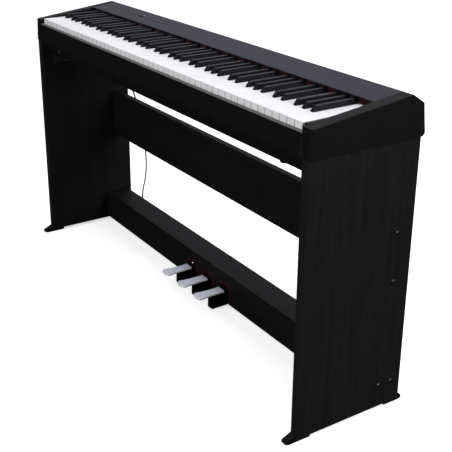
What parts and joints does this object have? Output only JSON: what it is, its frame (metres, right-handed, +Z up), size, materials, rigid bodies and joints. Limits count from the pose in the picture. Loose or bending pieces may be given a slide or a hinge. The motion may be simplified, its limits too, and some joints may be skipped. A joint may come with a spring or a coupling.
{
  "type": "digital piano on stand",
  "caption": "Slab digital piano with a full-size keyboard, screwed to a black board stand with a built-in three-pedal unit.",
  "frame": {"origin": "on the floor under the middle of the stand and piano, without the pedal cable", "axes": "+X along the keyboard to the treble end, -Y towards the player, +Z up"},
  "size_m": [1.3, 0.3273, 0.7123],
  "materials": {
    "black_board": "matt black wood-grain foil on particle board",
    "black_plastic": "fine-textured black",
    "dark_grey_plastic": "fine-textured dark grey",
    "black_steel": "black oxide",
    "zinc_steel": "zinc plated",
    "satin_metal": "satin plated",
    "red_felt": "dark red felt",
    "grey_felt": "grey felt",
    "green_board": "green solder mask",
    "black_rubber": "matt rubber",
    "socket_metal": "plated ring",
    "speaker_black": "black basket and cone",
    "white_key_plastic": "semi-gloss white",
    "black_key_plastic": "satin black"
  },
  "bodies": {
    "stand_and_case": {"left_side_panel": "black_board", "right_side_panel": "black_board", "stand_feet": "black_plastic", "back_rail": "black_board", "beam_top_board": "black_board", "beam_front_board": "black_board", "beam_rear_board": "black_board", "beam_end_blocks": "black_board", "panel_screws": "black_steel", "case_brackets": "zinc_steel", "case_screws": "black_steel", "pedal_supports": "black_plastic", "pedal_slot_felts": "red_felt", "pedal_chassis": "zinc_steel", "pedal_pivot_pins": "zinc_steel", "pedal_sensor_board": "green_board", "pedal_spring_left": "zinc_steel", "pedal_spring_middle": "zinc_steel", "pedal_spring_right": "zinc_steel", "pedal_cable": "black_rubber", "pedal_plug": "black_rubber", "pedal_socket": "black_plastic", "cable_gland": "black_plastic", "right_end_block": "black_plastic", "left_end_block": "black_plastic", "top_panel": "dark_grey_plastic", "front_panel": "black_plastic", "rear_panel": "black_plastic", "belly_pan": "black_plastic", "headphone_socket": "socket_metal", "dc_inlet": "black_plastic", "speakers": "speaker_black", "case_rubber_feet": "black_rubber", "key_frame": "black_plastic", "key_pivot_rod": "zinc_steel", "key_stop_felts": "grey_felt", "circuit_boards": "green_board", "red_key_felt": "red_felt"},
    "pedal_left_body": {"pedal_left": "satin_metal"},
    "pedal_middle_body": {"pedal_middle": "satin_metal"},
    "pedal_right_body": {"pedal_right": "satin_metal"},
    "power_button_body": {"power_button": "dark_grey_plastic"},
    "volume_slider_body": {"volume_slider": "dark_grey_plastic"},
    "panel_buttons_body": {"panel_buttons": "dark_grey_plastic"},
    "key_c4_body": {"key_c4": "white_key_plastic"},
    "key_d4_body": {"key_d4": "white_key_plastic"},
    "key_e4_body": {"key_e4": "white_key_plastic"},
    "key_f4_body": {"key_f4": "white_key_plastic"},
    "key_g4_body": {"key_g4": "white_key_plastic"},
    "key_a4_body": {"key_a4": "white_key_plastic"},
    "key_b4_body": {"key_b4": "white_key_plastic"},
    "key_c_sharp4_body": {"key_c_sharp4": "black_key_plastic"},
    "key_d_sharp4_body": {"key_d_sharp4": "black_key_plastic"},
    "key_f_sharp4_body": {"key_f_sharp4": "black_key_plastic"},
    "key_g_sharp4_body": {"key_g_sharp4": "black_key_plastic"},
    "key_a_sharp4_body": {"key_a_sharp4": "black_key_plastic"},
    "white_keys_bass_body": {"white_keys_bass": "white_key_plastic"},
    "black_keys_bass_body": {"black_keys_bass": "black_key_plastic"},
    "white_keys_treble_body": {"white_keys_treble": "white_key_plastic"},
    "black_keys_treble_body": {"black_keys_treble": "black_key_plastic"}
  },
  "joints": [
    {"name": "pedal_left_hinge", "type": "hinge", "parent": "stand_and_case", "child": "pedal_left_body", "pos_m": [-0.094, 0.104, 0.045], "axis": [1, 0, 0], "range_deg": [0, 5], "stiffness_Nm_per_rad": 12, "springref_deg": -1.72, "deforming": ["pedal_spring_left"]},
    {"name": "pedal_middle_hinge", "type": "hinge", "parent": "stand_and_case", "child": "pedal_middle_body", "pos_m": [-0.011, 0.104, 0.045], "axis": [1, 0, 0], "range_deg": [0, 5], "stiffness_Nm_per_rad": 12, "springref_deg": -1.72, "deforming": ["pedal_spring_middle"]},
    {"name": "pedal_right_hinge", "type": "hinge", "parent": "stand_and_case", "child": "pedal_right_body", "pos_m": [0.072, 0.104, 0.045], "axis": [1, 0, 0], "range_deg": [0, 5], "stiffness_Nm_per_rad": 12, "springref_deg": -1.72, "deforming": ["pedal_spring_right"]},
    {"name": "power_button_press", "type": "slide", "parent": "stand_and_case", "child": "power_button_body", "axis": [0, 0.1191, -0.9929], "range_m": [0, 0.001], "stiffness_N_per_m": 300, "springref_m": -0.0005},
    {"name": "volume_slide", "type": "slide", "parent": "stand_and_case", "child": "volume_slider_body", "axis": [1, 0, 0], "range_m": [-0.016, 0.016]},
    {"name": "panel_buttons_press", "type": "slide", "parent": "stand_and_case", "child": "panel_buttons_body", "axis": [0, 0.1191, -0.9929], "range_m": [0, 0.001], "stiffness_N_per_m": 300, "springref_m": -0.0005},
    {"name": "key_c4_hinge", "type": "hinge", "parent": "stand_and_case", "child": "key_c4_body", "pos_m": [0, 0.0893, 0.675], "axis": [1, 0, 0], "range_deg": [0, 2.6], "stiffness_Nm_per_rad": 2.5, "springref_deg": -2.29},
    {"name": "key_d4_hinge", "type": "hinge", "parent": "stand_and_case", "child": "key_d4_body", "pos_m": [0, 0.0893, 0.675], "axis": [1, 0, 0], "range_deg": [0, 2.6], "stiffness_Nm_per_rad": 2.5, "springref_deg": -2.29},
    {"name": "key_e4_hinge", "type": "hinge", "parent": "stand_and_case", "child": "key_e4_body", "pos_m": [0, 0.0893, 0.675], "axis": [1, 0, 0], "range_deg": [0, 2.6], "stiffness_Nm_per_rad": 2.5, "springref_deg": -2.29},
    {"name": "key_f4_hinge", "type": "hinge", "parent": "stand_and_case", "child": "key_f4_body", "pos_m": [0, 0.0893, 0.675], "axis": [1, 0, 0], "range_deg": [0, 2.6], "stiffness_Nm_per_rad": 2.5, "springref_deg": -2.29},
    {"name": "key_g4_hinge", "type": "hinge", "parent": "stand_and_case", "child": "key_g4_body", "pos_m": [0, 0.0893, 0.675], "axis": [1, 0, 0], "range_deg": [0, 2.6], "stiffness_Nm_per_rad": 2.5, "springref_deg": -2.29},
    {"name": "key_a4_hinge", "type": "hinge", "parent": "stand_and_case", "child": "key_a4_body", "pos_m": [0, 0.0893, 0.675], "axis": [1, 0, 0], "range_deg": [0, 2.6], "stiffness_Nm_per_rad": 2.5, "springref_deg": -2.29},
    {"name": "key_b4_hinge", "type": "hinge", "parent": "stand_and_case", "child": "key_b4_body", "pos_m": [0, 0.0893, 0.675], "axis": [1, 0, 0], "range_deg": [0, 2.6], "stiffness_Nm_per_rad": 2.5, "springref_deg": -2.29},
    {"name": "key_c_sharp4_hinge", "type": "hinge", "parent": "stand_and_case", "child": "key_c_sharp4_body", "pos_m": [0, 0.0893, 0.675], "axis": [1, 0, 0], "range_deg": [0, 2.6], "stiffness_Nm_per_rad": 2.5, "springref_deg": -2.29},
    {"name": "key_d_sharp4_hinge", "type": "hinge", "parent": "stand_and_case", "child": "key_d_sharp4_body", "pos_m": [0, 0.0893, 0.675], "axis": [1, 0, 0], "range_deg": [0, 2.6], "stiffness_Nm_per_rad": 2.5, "springref_deg": -2.29},
    {"name": "key_f_sharp4_hinge", "type": "hinge", "parent": "stand_and_case", "child": "key_f_sharp4_body", "pos_m": [0, 0.0893, 0.675], "axis": [1, 0, 0], "range_deg": [0, 2.6], "stiffness_Nm_per_rad": 2.5, "springref_deg": -2.29},
    {"name": "key_g_sharp4_hinge", "type": "hinge", "parent": "stand_and_case", "child": "key_g_sharp4_body", "pos_m": [0, 0.0893, 0.675], "axis": [1, 0, 0], "range_deg": [0, 2.6], "stiffness_Nm_per_rad": 2.5, "springref_deg": -2.29},
    {"name": "key_a_sharp4_hinge", "type": "hinge", "parent": "stand_and_case", "child": "key_a_sharp4_body", "pos_m": [0, 0.0893, 0.675], "axis": [1, 0, 0], "range_deg": [0, 2.6], "stiffness_Nm_per_rad": 2.5, "springref_deg": -2.29},
    {"name": "white_keys_bass_hinge", "type": "hinge", "parent": "stand_and_case", "child": "white_keys_bass_body", "pos_m": [0, 0.0893, 0.675], "axis": [1, 0, 0], "range_deg": [0, 2.6], "stiffness_Nm_per_rad": 57.5, "springref_deg": -2.29},
    {"name": "black_keys_bass_hinge", "type": "hinge", "parent": "stand_and_case", "child": "black_keys_bass_body", "pos_m": [0, 0.0893, 0.675], "axis": [1, 0, 0], "range_deg": [0, 2.6], "stiffness_Nm_per_rad": 40, "springref_deg": -2.29},
    {"name": "white_keys_treble_hinge", "type": "hinge", "parent": "stand_and_case", "child": "white_keys_treble_body", "pos_m": [0, 0.0893, 0.675], "axis": [1, 0, 0], "range_deg": [0, 2.6], "stiffness_Nm_per_rad": 55, "springref_deg": -2.29},
    {"name": "black_keys_treble_hinge", "type": "hinge", "parent": "stand_and_case", "child": "black_keys_treble_body", "pos_m": [0, 0.0893, 0.675], "axis": [1, 0, 0], "range_deg": [0, 2.6], "stiffness_Nm_per_rad": 37.5, "springref_deg": -2.29}
  ]
}
